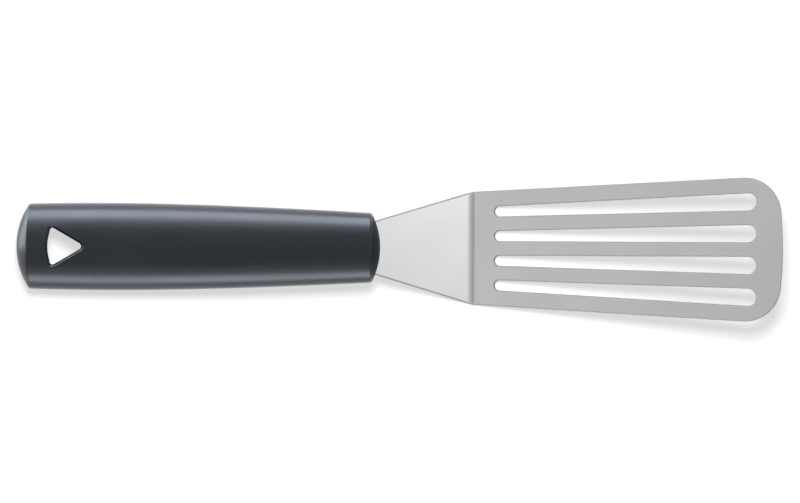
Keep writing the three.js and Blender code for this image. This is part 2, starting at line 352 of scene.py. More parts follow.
@dataclass(frozen=True)
class SatinSteel:
    """Stainless steel sheet, ground lengthwise to a fine satin.

    The long scratches blur what the steel mirrors, so broad soft tones cross it. Its cut edges are
    duller and darker than its faces. The slot walls' dark colour is partly their rough cut and partly
    painted shade inside the slots.
    """

    colour: str = "#CBCCCE"
    edge_colour: str = "#AEB0B2"
    # the slot walls' colour: their rough cut, and painted shade inside the slots
    slot_wall_and_shade_colour: str = "#333435"
    roughness: float = 0.30
    roughness_spread: float = 0.025
    edge_roughness: float = 0.55
    edge_metallic: float = 0.15
    edge_gloss: float = 0.15
    scratch_pitch_mm: float = 0.4  # real scratches lie about 0.03 mm apart and wouldn't show
    scratch_length_mm: float = 30.0
    scratch_depth_mm: float = 0.002
    scratch_strength: float = 0.02
    scratch_range: tuple[float, float] = (0.25, 0.75)
    cloud_mm: float = 25.0
    cloud_range: tuple[float, float] = (0.3, 0.7)
    cloud_spread: float = 0.025

    def material(self) -> bpy.types.Material:
        """Make the steel's nodes: scratches, faint clouds and duller edges.

        Returns:
            The material.
        """
        material, tree = new_material("satin_stainless_steel")
        place = add_node(tree, "ShaderNodeTexCoord").outputs["Object"]
        along = 1 / (self.scratch_length_mm * MM)
        across = 1 / (self.scratch_pitch_mm * MM)
        stretched = add_node(
            tree, "ShaderNodeMapping", {"Vector": place, "Scale": (along, across, along)}
        )
        scratches = add_node(
            tree, "ShaderNodeTexNoise",
            {"Vector": stretched.outputs["Vector"], "Scale": 1.0, "Detail": 3.0, "Roughness": 0.6},
        ).outputs["Fac"]
        clouds = add_node(
            tree, "ShaderNodeTexNoise",
            {"Vector": place, "Scale": 1 / (self.cloud_mm * MM), "Detail": 2.0},
        ).outputs["Fac"]
        edge = add_node(tree, "ShaderNodeAttribute", attribute_name=SteelSheet.EDGE).outputs["Fac"]
        worn = add_node(
            tree, "ShaderNodeMapRange",
            {"Value": scratches,
             "From Min": self.scratch_range[0], "From Max": self.scratch_range[1],
             "To Min": self.roughness - self.roughness_spread,
             "To Max": self.roughness + self.roughness_spread},
        ).outputs["Result"]
        roughness = add_node(
            tree, "ShaderNodeMix",
            {"Factor": edge, "A": worn, "B": self.edge_roughness},
            data_type="FLOAT",
        ).outputs["Result"]
        bare = add_node(
            tree, "ShaderNodeMapRange", {"Value": edge, "To Min": 1.0, "To Max": self.edge_metallic}
        ).outputs["Result"]
        gloss = add_node(
            tree, "ShaderNodeMapRange",
            {"Value": edge, "To Min": DEFAULT_GLOSS, "To Max": self.edge_gloss},
        ).outputs["Result"]
        tone = add_node(
            tree, "ShaderNodeMapRange",
            {"Value": clouds, "From Min": self.cloud_range[0], "From Max": self.cloud_range[1],
             "To Min": 1 - self.cloud_spread, "To Max": 1 + self.cloud_spread},
        ).outputs["Result"]
        face = add_node(
            tree, "ShaderNodeVectorMath", {0: srgb(self.colour)[:3], "Scale": tone}, operation="SCALE"
        ).outputs["Vector"]
        # painted shade: the slot walls get a dark colour that stands partly for their rough cut and
        # partly for the shade inside the slots
        wall = add_node(
            tree, "ShaderNodeMapRange",
            {"Value": edge, "From Min": SteelSheet.ROUND, "From Max": SteelSheet.WALL},
        ).outputs["Result"]
        cut = add_node(
            tree, "ShaderNodeMix",
            {"Factor": wall, MIX_A: srgb(self.edge_colour), MIX_B: srgb(self.slot_wall_and_shade_colour)},
            data_type="RGBA",
        ).outputs[MIX_RESULT]
        colour = add_node(
            tree, "ShaderNodeMix", {"Factor": edge, MIX_A: face, MIX_B: cut}, data_type="RGBA"
        ).outputs[MIX_RESULT]
        bump = add_node(
            tree, "ShaderNodeBump",
            {"Height": scratches, "Strength": self.scratch_strength,
             "Distance": self.scratch_depth_mm * MM},
        )
        shader = add_node(
            tree, "ShaderNodeBsdfPrincipled",
            {"Base Color": colour, "Metallic": bare, "Roughness": roughness,
             "Specular IOR Level": gloss, "Normal": bump.outputs["Normal"]},
        )
        add_node(tree, "ShaderNodeOutputMaterial", {"Surface": shader.outputs["BSDF"]})
        return material


@dataclass(frozen=True)
class BlackMoulding:
    """Black acetal, moulded in a tool with a fine spark-eroded texture.

    The texture spreads every light into a broad sheen, and the plastic itself stays nearly black.
    The front face is rougher and its gloss is turned down, a painted shade that darkens the front dome.
    """

    colour: str = "#0F1519"
    roughness: float = 0.33
    roughness_spread: float = 0.03
    ior: float = 1.48
    front_roughness: float = 0.45
    front_shade_gloss: float = 0.2
    grain_mm: float = 0.35  # a real spark texture's grain is about 0.1 mm and wouldn't show
    grain_depth_mm: float = 0.006
    grain_strength: float = 0.3
    cloud_mm: float = 18.0
    cloud_range: tuple[float, float] = (0.3, 0.7)

    def material(self) -> bpy.types.Material:
        """Make the plastic's nodes: texture grain and a faint change of gloss.

        Returns:
            The material.
        """
        material, tree = new_material("black_moulded_acetal")
        place = add_node(tree, "ShaderNodeTexCoord").outputs["Object"]
        grain = add_node(
            tree, "ShaderNodeTexNoise",
            {"Vector": place, "Scale": 1 / (self.grain_mm * MM), "Detail": 1.0},
        ).outputs["Fac"]
        clouds = add_node(
            tree, "ShaderNodeTexNoise",
            {"Vector": place, "Scale": 1 / (self.cloud_mm * MM), "Detail": 3.0},
        ).outputs["Fac"]
        roughness = add_node(
            tree, "ShaderNodeMapRange",
            {"Value": clouds, "From Min": self.cloud_range[0], "From Max": self.cloud_range[1],
             "To Min": self.roughness - self.roughness_spread,
             "To Max": self.roughness + self.roughness_spread},
        ).outputs["Result"]
        front = add_node(
            tree, "ShaderNodeAttribute", attribute_name=MouldedHandle.FRONT
        ).outputs["Fac"]
        roughness = add_node(
            tree, "ShaderNodeMix",
            {"Factor": front, "A": roughness, "B": self.front_roughness},
            data_type="FLOAT",
        ).outputs["Result"]
        # painted shade: the front face's gloss is turned down so that the front dome reflects less and
        # looks darker
        gloss = add_node(
            tree, "ShaderNodeMapRange",
            {"Value": front, "To Min": DEFAULT_GLOSS, "To Max": self.front_shade_gloss},
        ).outputs["Result"]
        bump = add_node(
            tree, "ShaderNodeBump",
            {"Height": grain, "Strength": self.grain_strength,
             "Distance": self.grain_depth_mm * MM},
        )
        shader = add_node(
            tree, "ShaderNodeBsdfPrincipled",
            {"Base Color": srgb(self.colour), "Roughness": roughness, "IOR": self.ior,
             "Specular IOR Level": gloss, "Normal": bump.outputs["Normal"]},
        )
        add_node(tree, "ShaderNodeOutputMaterial", {"Surface": shader.outputs["BSDF"]})
        return material


@dataclass(frozen=True)
class CoreMoulding:
    """Grey glass-filled polypropylene, moulded, with the streaks that its fibres leave."""

    colour: str = "#8B8D8C"
    streak_colour: str = "#7B7D7C"
    roughness: float = 0.6
    ior: float = 1.49
    streak_mm: float = 3.0
    streak_length_mm: float = 20.0

    def material(self) -> bpy.types.Material:
        """Make the core's nodes: streaks along the flow of the moulding.

        Returns:
            The material.
        """
        material, tree = new_material("grey_filled_polypropylene")
        place = add_node(tree, "ShaderNodeTexCoord").outputs["Object"]
        along = 1 / (self.streak_length_mm * MM)
        across = 1 / (self.streak_mm * MM)
        stretched = add_node(
            tree, "ShaderNodeMapping", {"Vector": place, "Scale": (along, across, across)}
        )
        streaks = add_node(
            tree, "ShaderNodeTexNoise", {"Vector": stretched.outputs["Vector"], "Scale": 1.0}
        ).outputs["Fac"]
        colour = add_node(
            tree, "ShaderNodeMix",
            {"Factor": streaks, MIX_A: srgb(self.colour), MIX_B: srgb(self.streak_colour)},
            data_type="RGBA",
        ).outputs[MIX_RESULT]
        shader = add_node(
            tree, "ShaderNodeBsdfPrincipled",
            {"Base Color": colour, "Roughness": self.roughness, "IOR": self.ior},
        )
        add_node(tree, "ShaderNodeOutputMaterial", {"Surface": shader.outputs["BSDF"]})
        return material


@dataclass(frozen=True)
class RestPose:
    """How the spatula lies: on the heel of its blade and on the lower edge of its butt."""

    tilt: float
    shift_x: float
    shift_z: float

    def place(self, points: Floats) -> Floats:
        """Turn points by the tilt about y, shift them to where they lie and give metres.

        Args:
            points: points in the handle's frame, in millimetres.

        Returns:
            The same points in the part's frame, in metres.
        """
        x, y, z = np.moveaxis(points, -1, 0)
        lie_x = x * math.cos(self.tilt) - z * math.sin(self.tilt) + self.shift_x
        lie_z = x * math.sin(self.tilt) + z * math.cos(self.tilt) + self.shift_z
        return np.stack([lie_x, y, lie_z], -1) * MM


@dataclass
class SteelSheet:
    """The sheet of steel that is tang, neck and blade, cut flat and then folded twice.

    Laid flat, s runs along the metal from the tang's end, y across it and n through it.
    """

    tang_start: float
    shoulder_x: float
    mouth_x: float
    thickness: float = 1.6
    shoulder_radius: float = 6.0
    heel_neck_radius: float = 7.0
    heel_blade_radius: float = 5.0
    heel_neck_turn: float = math.radians(23)
    tang_width: float = 14.0
    tang_end_radius: float = 3.0
    tang_windows: int = 3
    tang_window_diameter: float = 7.0
    neck_length: float = 40.35
    neck_drop: float = math.radians(25)
    neck_width: float = 20.35
    heel_width: float = 40.3
    blade_length: float = 114.3
    blade_lift: float = math.radians(11)
    blade_front_width: float = 52.85
    front_bow_radius: float = 140.0
    front_corner_radius: float = 13.2
    slots: int = 4
    slot_start: float = 8.8
    slot_front_band: float = 9.5
    inner_bar: float = 5.2
    outer_bar: float = 5.65
    edge_round: float = 0.35
    edge_margin: float = 0.15
    arc_steps: int = 14
    bend_steps: int = 10
    round_steps: int = 3

    EDGE = "cut_edge"
    FACE, ROUND, WALL = 0.0, 1.0, 2.0  # what a point belongs to: a face, a rounded edge, a cut wall

    def __post_init__(self) -> None:
        """Work out where each stretch of the folded sheet starts, and how wide it is there."""
        heel_turn = self.neck_drop + self.blade_lift
        blade_turn = heel_turn - self.heel_neck_turn
        shoulder_setback = self.shoulder_radius * math.tan(self.neck_drop / 2)
        neck_tangent = self.heel_neck_radius * math.tan(self.heel_neck_turn / 2)
        blade_tangent = self.heel_blade_radius * math.tan(blade_turn / 2)
        shared = (neck_tangent + blade_tangent) / math.sin(heel_turn)
        neck_setback = neck_tangent + shared * math.sin(blade_turn)
        self.blade_setback = blade_tangent + shared * math.sin(self.heel_neck_turn)
        self.bends = np.array([0.0, -self.neck_drop, 0.0, self.heel_neck_turn, blade_turn, 0.0])
        self.lengths = np.array([
            self.shoulder_x - shoulder_setback - self.tang_start,
            self.shoulder_radius * self.neck_drop,
            self.neck_length - shoulder_setback - neck_setback,
            self.heel_neck_radius * self.heel_neck_turn,
            self.heel_blade_radius * blade_turn,
            self.blade_length - self.blade_setback,
        ])
        chord = self.lengths * np.sinc(self.bends / (2 * np.pi))
        self.headings = np.cumsum(self.bends) - self.bends
        middle = self.headings + self.bends / 2
        self.starts = np.cumsum(self.lengths) - self.lengths
        self.xs = self.tang_start + np.cumsum(chord * np.cos(middle)) - chord * np.cos(middle)
        self.zs = np.cumsum(chord * np.sin(middle)) - chord * np.sin(middle)
        mouth_reach = (self.mouth_x - self.shoulder_x) / math.cos(self.neck_drop)
        mouth_s = self.starts[Stretch.NECK] + mouth_reach - shoulder_setback
        heel_s = self.starts[Stretch.HEEL_BLADE]
        front_s = np.sum(self.lengths)
        neck_spread = (self.heel_width - self.neck_width) / 2 / (heel_s - mouth_s)
        self.blade_spread = (self.blade_front_width - self.heel_width) / 2 / (front_s - heel_s)
        self.tang_narrow = heel_s - (self.heel_width - self.tang_width) / 2 / neck_spread
        self.knots = np.array([0.0, self.tang_narrow, heel_s, front_s])
        widths = np.array([self.tang_width, self.tang_width, self.heel_width, self.blade_front_width])
        self.halves = widths / 2

    def blade_s(self, ahead: Floats | float) -> Floats | float:
        """Distance along the metal for a distance ahead of the heel's corner."""
        return self.starts[Stretch.BLADE] + ahead - self.blade_setback

    def half(self, s: Floats) -> Floats:
        """Half width of the sheet along its straight sides."""
        return np.interp(s, self.knots, self.halves)

    def fold(self, s: Floats, y: Floats, n: Floats | float) -> Floats:
        """Fold points of the flat sheet into the handle's frame.

        On each stretch the mid-line turns evenly, so a point lies at the end of a chord of length
        d sin(turn / 2) / (turn / 2), which points half the turn away from the stretch's heading.

        Args:
            s: distance along the metal.
            y: distance across it.
            n: distance from its middle, upwards.

        Returns:
            An array whose last axis holds x, y and z.
        """
        i = np.clip(np.searchsorted(self.starts, s, side="right") - 1, 0, len(self.starts) - 1)
        d = s - self.starts[i]
        turn = self.bends[i] / self.lengths[i] * d
        chord = d * np.sinc(turn / (2 * np.pi))
        heading = self.headings[i] + turn
        x = self.xs[i] + chord * np.cos(heading - turn / 2) - n * np.sin(heading)
        z = self.zs[i] + chord * np.sin(heading - turn / 2) + n * np.cos(heading)
        return np.stack(np.broadcast_arrays(x, y, z), -1)

    def heel_centre(self) -> tuple[float, float]:
        """Find the centre of the heel bend's arc on the neck's side.

        Returns:
            Its x and z.
        """
        heading = self.headings[Stretch.HEEL_NECK]
        return (self.xs[Stretch.HEEL_NECK] - self.heel_neck_radius * math.sin(heading),
                self.zs[Stretch.HEEL_NECK] + self.heel_neck_radius * math.cos(heading))

    def outline(self) -> tuple[Floats, Ints]:
        """The sheet's outline and the lines across it where it bends.

        Straight flaring sides end in a round corner that is tangent to them and to the bowed front.
        The sides have a point at every step of a bend and just outside it.

        Returns:
            The loop, counter-clockwise, and pairs of point numbers across it.
        """
        bow = self.blade_length - self.front_bow_radius
        slope_angle = math.atan(self.blade_spread)
        root = self.blade_front_width / 2 - self.blade_spread * self.blade_length
        inset = root - self.front_corner_radius / math.cos(slope_angle)
        slope = 1 + self.blade_spread ** 2
        middle = inset * self.blade_spread - bow
        gap = bow ** 2 + inset ** 2 - (self.front_bow_radius - self.front_corner_radius) ** 2
        corner_x = (math.sqrt(middle ** 2 - slope * gap) - middle) / slope
        corner_y = inset + self.blade_spread * corner_x
        bow_angle = math.atan2(corner_y, corner_x - bow)

        steps = np.linspace(0, 1, self.bend_steps + 1)
        shoulder, heel_neck, heel_blade = (
            self.starts[bend] + self.lengths[bend] * steps
            for bend in (Stretch.SHOULDER, Stretch.HEEL_NECK, Stretch.HEEL_BLADE)
        )
        heel = np.concatenate([heel_neck[:-1], heel_blade])
        before = np.array([shoulder[0], heel[0]]) - self.edge_margin
        after = np.array([shoulder[-1], heel[-1]]) + self.edge_margin
        lines = np.concatenate([before, shoulder, heel, after])
        side_s = np.unique(np.concatenate([self.knots[1:-1], lines]))
        side = np.column_stack([side_s, self.half(side_s)])
        end = arc((self.tang_end_radius, self.tang_width / 2 - self.tang_end_radius),
                  self.tang_end_radius, math.pi, math.pi / 2, self.arc_steps)
        corner = arc((self.blade_s(corner_x), corner_y), self.front_corner_radius,
                     math.pi / 2 + slope_angle, bow_angle, 2 * self.arc_steps)
        front = arc((self.blade_s(bow), 0), self.front_bow_radius, bow_angle, 0, self.arc_steps)
        left = np.concatenate([end, side, corner, front[1:]])
        loop = np.concatenate([left * (1, -1), left[-2::-1]])
        across = len(end) + np.flatnonzero(np.isin(side_s, lines))
        return loop, np.column_stack([across, 2 * len(left) - 2 - across])

    def slot_loops(self) -> list[Floats]:
        """The slots' outlines, clockwise: they share what the bars leave of the blade's width.

        Returns:
            One loop for each slot.
        """
        ahead = np.array([self.slot_start, self.blade_length - self.slot_front_band])
        bars = 2 * self.outer_bar + (self.slots - 1) * self.inner_bar
        s = self.blade_s(ahead)
        width = (2 * self.half(s) - bars) / self.slots
        loops = []
        for index in range(self.slots):
            low = self.outer_bar - self.half(s) + index * (width + self.inner_bar)
            high = low + width
            corners = np.array([(s[0], low[0]), (s[0], high[0]), (s[1], high[1]), (s[1], low[1])])
            loops.append(rounded_loop(corners, np.repeat(width / 2, 2), self.arc_steps))
        return loops

    def window_loops(self) -> list[Floats]:
        """The round windows in the tang that lock it into its moulding, clockwise.

        Returns:
            One loop for each window.
        """
        share = (np.arange(self.tang_windows) + 0.5) / self.tang_windows
        radius = self.tang_window_diameter / 2
        steps = 4 * self.arc_steps
        return [arc((s, 0), radius, 0, -2 * math.pi, steps)[:-1] for s in self.tang_narrow * share]

    def edge_profile(self) -> Floats:
        """Section of a rounded edge, from the upper face to the lower one.

        Returns:
            Rows of distance into the metal, height and what they belong to.
        """
        skin = self.thickness / 2
        angle = np.linspace(math.pi / 2, 0, self.round_steps + 1)
        into = self.edge_round * (1 - np.cos(angle))
        height = skin - self.edge_round * (1 - np.sin(angle))
        upper = np.column_stack([into, height, np.full(len(angle), self.ROUND)])
        upper[-1, 2] = self.WALL
        upper = np.concatenate([[(self.edge_round + self.edge_margin, skin, self.FACE)], upper])
        return np.concatenate([upper, upper[::-1] * (1, -1, 1)])

    def build(self, pose: RestPose) -> bpy.types.Object:
        """Make the sheet: two faces inside its loops, and a rounded edge carried along each loop.

        Args:
            pose: how the part lies.

        Returns:
            The blade's object.
        """
        outline, lines = self.outline()
        loops = [outline, *self.slot_loops(), *self.window_loops()]
        profile = self.edge_profile()
        skin = Skin()
        rims, edges, pairs = [], [], []
        for loop in loops:
            section = np.stack([offset(loop, into) for into in profile[:, 0]])
            points = self.fold(section[..., 0], section[..., 1], profile[:, 1:2])
            belongs = np.minimum(profile[:, 2:3], self.ROUND if loop is outline else self.WALL)
            rings = skin.add(pose.place(points), belongs)
            skin.grid(rings)
            start = sum(len(rim) for rim in rims)
            numbers = start + np.arange(len(loop))
            edges.append(np.column_stack([numbers, np.roll(numbers, -1)]))
            pairs.append(rings[[0, -1]])
            rims.append(section[0])
        flat = np.concatenate(rims)
        borders = np.concatenate([*edges, lines])
        corners = [Vector(point) for point in flat.tolist()]
        _, _, found, sources, _, _ = delaunay_2d_cdt(
            corners, borders.tolist(), [], INSIDE_BORDERS, SAME_POINT_MM
        )
        faces = np.ravel(sources)[np.array(found)]
        owner = np.repeat(np.arange(len(rims)), [len(rim) for rim in rims])[faces]
        in_hole = (owner[:, 0] > 0) & np.all(owner == owner[:, :1], axis=1)
        faces = faces[~in_hole]
        upper, lower = np.concatenate(pairs, axis=1)
        skin.triangles += [upper[faces], lower[faces[:, ::-1]]]
        return skin.mesh("slotted_blade_sheet", self.EDGE)

    def dress(self, piece: bpy.types.Object, finish: SatinSteel) -> None:
        """Give the sheet its steel and set it in the frame.

        Args:
            piece: the blade's object.
            finish: its steel.
        """
        piece.data.materials.append(finish.material())
        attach(piece, BODY)
        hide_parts("slotted_blade")


@dataclass
class HangHole:
    """The three-sided opening near the butt, with a bowed back and its point towards the blade."""

    back: float = 11.25
    length: float = 13.6
    width: float = 14.1
    bow: float = 1.5
    bow_radius: float = 20.0
    corner_radius: float = 0.9
    point_radius: float = 1.25
    rim_width: float = 0.85
    rim_slopes: tuple[float, float] = (math.radians(43), math.radians(75))
    back_rim_width: float = 1.1
    back_rim_slopes: tuple[float, float] = (math.radians(30), math.radians(45))
    draft: float = math.radians(3.7)
    centre_share: float = 5 / 12
    corner_steps: int = 40
    outline_points: int = 2000

    @property
    def point(self) -> float:
        """Where the hole's point lies along the handle."""
        return self.back + self.length

    def rim(self, into: Floats, rows: int) -> tuple[Floats, Floats, Floats]:
        """Section of the rim, an arc between two slopes, gentler at the back where the part hangs.

        Args:
            into: the directions from the hole into the plastic.
            rows: how many rows the arc has.

        Returns:
            The rim's width, and the rows' distance from its outer edge and depth, by direction.
        """
        back = np.clip(-into[:, 0], 0, 1)
        width = self.rim_width + (self.back_rim_width - self.rim_width) * back
        sides = np.array(self.rim_slopes)[:, None]
        first, last = sides + (np.array(self.back_rim_slopes)[:, None] - sides) * back
        slope = np.linspace(first, last, rows + 1)[1:]
        radius = width / (np.sin(last) - np.sin(first))
        run = radius * (np.sin(slope) - np.sin(first))
        return width, run, radius * (np.cos(first) - np.cos(slope))

    @property
    def centre(self) -> float:
        """A place inside the hole that sees all of its outline."""
        return self.back + self.length * self.centre_share

    def seen_from_centre(self, angle: Floats) -> tuple[Floats, Floats]:
        """Points of the outline, and directions into the plastic, at angles round the centre.

        Args:
            angle: polar angles, in radians.

        Returns:
            The points and the unit directions, rows of x and y.
        """
        corners = np.array([
            (self.point, 0),
            (self.back + self.bow, self.width / 2),
            (self.back, 0),
            (self.back + self.bow, -self.width / 2),
        ])
        radii = np.array([self.point_radius, self.corner_radius, self.bow_radius, self.corner_radius])
        loop = evenly(rounded_loop(corners, radii, self.corner_steps), self.outline_points)
        ray = loop - (self.centre, 0)
        seen = np.arctan2(ray[:, 1], ray[:, 0])
        away = loop - offset(loop, 1.0)
        reach = np.interp(angle, seen, np.linalg.norm(ray, axis=1), period=2 * np.pi)
        points = np.stack([np.cos(angle), np.sin(angle)], -1) * reach[:, None] + (self.centre, 0)
        into = np.stack([np.interp(angle, seen, away[:, k], period=2 * np.pi) for k in (0, 1)], -1)
        return points, into / np.linalg.norm(into, axis=1, keepdims=True)


@dataclass
class MouldedHandle:
    """The black grip, with its hang hole, the mouth that holds the neck, and the hollow for the core.

    Every cross-section is an ellipse, whose half width follows a dome at the butt, a flank and a
    dome at the front, and whose height is a fixed share of its width.
    """

    hole: HangHole = field(default_factory=HangHole)
    length: float = 130.0
    butt_width: float = 30.35
    butt_thickness: float = 19.6
    butt_dome: float = 4.55
    butt_dome_top: float = 3.95
    butt_flare: float = math.radians(1.7)
    butt_edge_round: float = 0.25
    front_width: float = 24.9
    front_dome: float = 3.1
    front_taper: float = math.radians(3)
    front_edge_round: float = 0.4
    side_edge_round: float = 0.75
    hole_to_core: float = 4.0
    grip_wall: float = 4.0
    front_wall: float = 12.0
    lock_grooves: int = 3
    lock_groove_width: float = 4.0
    lock_groove_depth: float = 1.2
    tang_cover: float = 6.0
    shoulder_depth: float = 5.0
    core_clearance: float = 0.3
    mouth_clearance: float = 0.06
    mouth_round: float = 0.3
    mouth_corner_radius: float = 0.3
    patch_margin: float = 3.6
    ring_crowding: float = 1.5
    side_sharpness: int = 8
    sides: int = 160
    patch_half: int = 24
    patch_rows: int = 60
    patch_rings: int = 12
    gap_rows: int = 3
    flank_rows: int = 70
    dome_rows: int = 12
    round_rows: int = 6
    rim_rows: int = 8
    wall_rows: int = 10
    mouth_end_rows: int = 2
    mouth_corner_steps: int = 4
    mouth_round_rows: int = 3
    mouth_tries: int = 12
    passage_rows: int = 13
    hollow_front_rows: int = 2

    FRONT = "front_face"

    def __post_init__(self) -> None:
        """Work out what follows from the sizes."""
        self.flatness = self.butt_thickness / self.butt_width
        self.flank_start = self.butt_dome_top
        self.flank_end = self.length - self.front_dome
        self.front_radius = self.dome_radius(self.front_width / 2, self.front_dome)
        self.core_back = self.hole.point + self.hole_to_core
        self.core_front = self.length - self.front_wall
        self.turn = np.arange(self.sides) * 2 * np.pi / self.sides

    @staticmethod
    def dome_radius(half: Floats | float, height: Floats | float) -> Floats | float:
        """Radius of the dome that rises to a height over a half width."""
        return (half ** 2 + height ** 2) / (2 * height)

    def half(self, x: Floats) -> Floats:
        """Half width of the flank: a cubic Bezier with its control points evenly spaced along x.

        Args:
            x: places along the handle.

        Returns:
            The half widths there.
        """
        run = self.flank_end - self.flank_start
        t = (np.asarray(x) - self.flank_start) / run
        start, end = self.butt_width / 2, self.front_width / 2
        rise = start + run / 3 * math.tan(self.butt_flare)
        fall = end + run / 3 * math.tan(self.front_taper)
        near = (1 - t) ** 3 * start + 3 * t * (1 - t) ** 2 * rise
        return near + 3 * t ** 2 * (1 - t) * fall + t ** 3 * end

    def height(self, xy: Floats) -> Floats:
        """Height of the upper surface over points of the flank, from the ellipse there."""
        return self.flatness * np.sqrt(self.half(xy[..., 0]) ** 2 - xy[..., 1] ** 2)

    def front_face(self, y: Floats, z: Floats) -> Floats:
        """Place along the handle of the front dome's surface."""
        square = y ** 2 + (z / self.flatness) ** 2
        return self.length - self.front_radius + np.sqrt(self.front_radius ** 2 - square)

    def turned(self, profile: Floats) -> Floats:
        """Carry rows of place and half width round the axis as ellipses.

        Args:
            profile: rows of x and half width, for all sides or for each.

        Returns:
            A grid of points, one row for each row of the profile.
        """
        x = np.broadcast_to(profile[..., 0], (len(profile), self.sides))
        y = profile[..., 1] * np.cos(self.turn)
        z = self.flatness * profile[..., 1] * np.sin(self.turn)
        return np.stack([x, y, z], -1)

    def edge_round(self, top: float) -> Floats:
        """How far an edge's round reaches, round the handle: it grows from its top to its sides."""
        return top + (self.side_edge_round - top) * np.cos(self.turn) ** self.side_sharpness

    def front_rim(self) -> Floats:
        """Find where the front dome ends, round the handle.

        Returns:
            Rows of x and half width, one for each side.
        """
        angle = math.asin(self.front_width / 2 / self.front_radius)
        angle = angle - self.edge_round(self.front_edge_round) / self.front_radius
        x = self.length - self.front_radius * (1 - np.cos(angle))
        return np.stack([x, self.front_radius * np.sin(angle)], -1)

    def outer_profile(self) -> tuple[Floats, int]:
        """Half width along the outside, from the butt's dome to the front dome's edge.

        Returns:
            Rows of x and half width for each side, and the row where the hang hole's patch starts.
        """
        rise = self.butt_dome_top + (self.butt_dome - self.butt_dome_top) * np.cos(self.turn) ** 2
        butt_half = self.half(rise)
        butt_radius = self.dome_radius(butt_half, rise)
        butt_round = self.edge_round(self.butt_edge_round)
        last = np.arcsin(butt_half / butt_radius) - butt_round / butt_radius
        angle = np.linspace(0, last, self.dome_rows + 1)[1:]
        dome = butt_radius[:, None] * np.stack([1 - np.cos(angle), np.sin(angle)], -1)
        after = rise + butt_round
        corner = np.stack([rise, butt_half], -1)
        flank_edge = np.stack([after, self.half(after)], -1)
        edge = curve_through(dome[-1], corner, flank_edge, self.round_rows)
        patch_start = self.hole.back - self.patch_margin
        patch_end = np.full(self.sides, self.hole.point + self.patch_margin)
        before = self.flank_end - self.edge_round(self.front_edge_round)
        flank_x = np.concatenate([
            np.linspace(after, patch_start, self.gap_rows + 1)[1:-1],
            np.linspace(patch_start, patch_end, self.patch_rows + 1),
            np.linspace(patch_end, before, self.flank_rows + 1)[1:],
        ])
        flank = np.stack([flank_x, self.half(flank_x)], -1)
        front_corner = np.array([self.flank_end, self.front_width / 2])
        front = curve_through(flank[-1], front_corner, self.front_rim(), self.round_rows)
        profile = np.concatenate([dome, edge[1:], flank, front[1:]])
        return profile, len(dome) + len(edge) - 1 + self.gap_rows - 1

    def hollow_profile(self) -> Floats:
        """Half width of the hollow, from its front to its back, with ribs in the core's grooves.

        Returns:
            Rows of x and half width, the same for all sides.
        """
        grow = self.core_clearance
        middle = (np.arange(self.lock_grooves) + 0.5) / self.lock_grooves
        middle = self.core_back + (self.core_front - self.core_back) * middle
        reach = self.lock_groove_width / 2 - grow
        walls = np.stack([middle - reach, middle - reach, middle + reach, middle + reach], -1).ravel()
        x = np.concatenate([[self.core_back - grow], walls, [self.core_front + grow]])
        ribs = np.tile([0, self.lock_groove_depth, self.lock_groove_depth, 0], self.lock_grooves)
        half = self.half(x) - self.grip_wall + grow / self.flatness
        half[1:-1] -= ribs
        return np.stack([x, half], -1)[::-1, None]

    def mouth_loop(self, sheet: SteelSheet, grow: float) -> tuple[Floats, Floats]:
        """Section of the mouth round the neck: a rectangle with round corners.

        Args:
            sheet: the steel that the mouth holds.
            grow: how far it stands off the steel.

        Returns:
            Share of the half width and height through the sheet, one for each side of the handle.
        """
        high = sheet.thickness / 2 + grow
        width = sheet.neck_width / 2 + grow
        radius, ends = self.mouth_corner_radius, self.mouth_end_rows
        rise = np.linspace(0, high - radius, ends + 1)[:-1]
        centre = (width - radius, high - radius)
        corner = arc(centre, radius, 0, math.pi / 2, self.mouth_corner_steps)
        top = np.linspace(width - radius, 0, self.sides // 4 + 2 - ends - len(corner))[1:]
        quarter_y = np.concatenate([np.full(ends, width), corner[:, 0], top])
        quarter_n = np.concatenate([rise, corner[:, 1], np.full(len(top), high)])
        half_y = np.concatenate([quarter_y, -quarter_y[-2::-1]])
        half_n = np.concatenate([quarter_n, quarter_n[-2::-1]])
        y = np.concatenate([half_y, half_y[-2:0:-1]])
        n = np.concatenate([half_n, -half_n[-2:0:-1]])
        return y / width, n

    def build(self, sheet: SteelSheet, pose: RestPose) -> bpy.types.Object:
        """Make the grip as one closed skin.

        Args:
            sheet: the steel that the mouth holds.
            pose: how the part lies.

        Returns:
            The grip's object.
        """
        skin = Skin()
        profile, patch_start = self.outer_profile()
        outside = skin.add(pose.place(self.turned(profile)))
        rows = np.arange(len(profile) - 1)[:, None]
        in_rows = (rows >= patch_start) & (rows < patch_start + self.patch_rows)
        columns = np.arange(self.sides)[None, :]
        quarter = self.sides // 4
        keep = np.ones((len(profile) - 1, self.sides), bool)
        for top in (quarter, 3 * quarter):
            keep &= ~(in_rows & (columns >= top - self.patch_half) & (columns < top + self.patch_half))
        skin.grid(outside, keep=keep)
        butt = skin.add(pose.place(np.zeros((1, 3))))
        skin.fan(int(butt[0]), outside[0])
        self.add_hole(skin, pose, profile, outside, patch_start)
        self.add_mouth(skin, pose, sheet, outside[-1])
        return skin.mesh("moulded_handle_grip", self.FRONT)

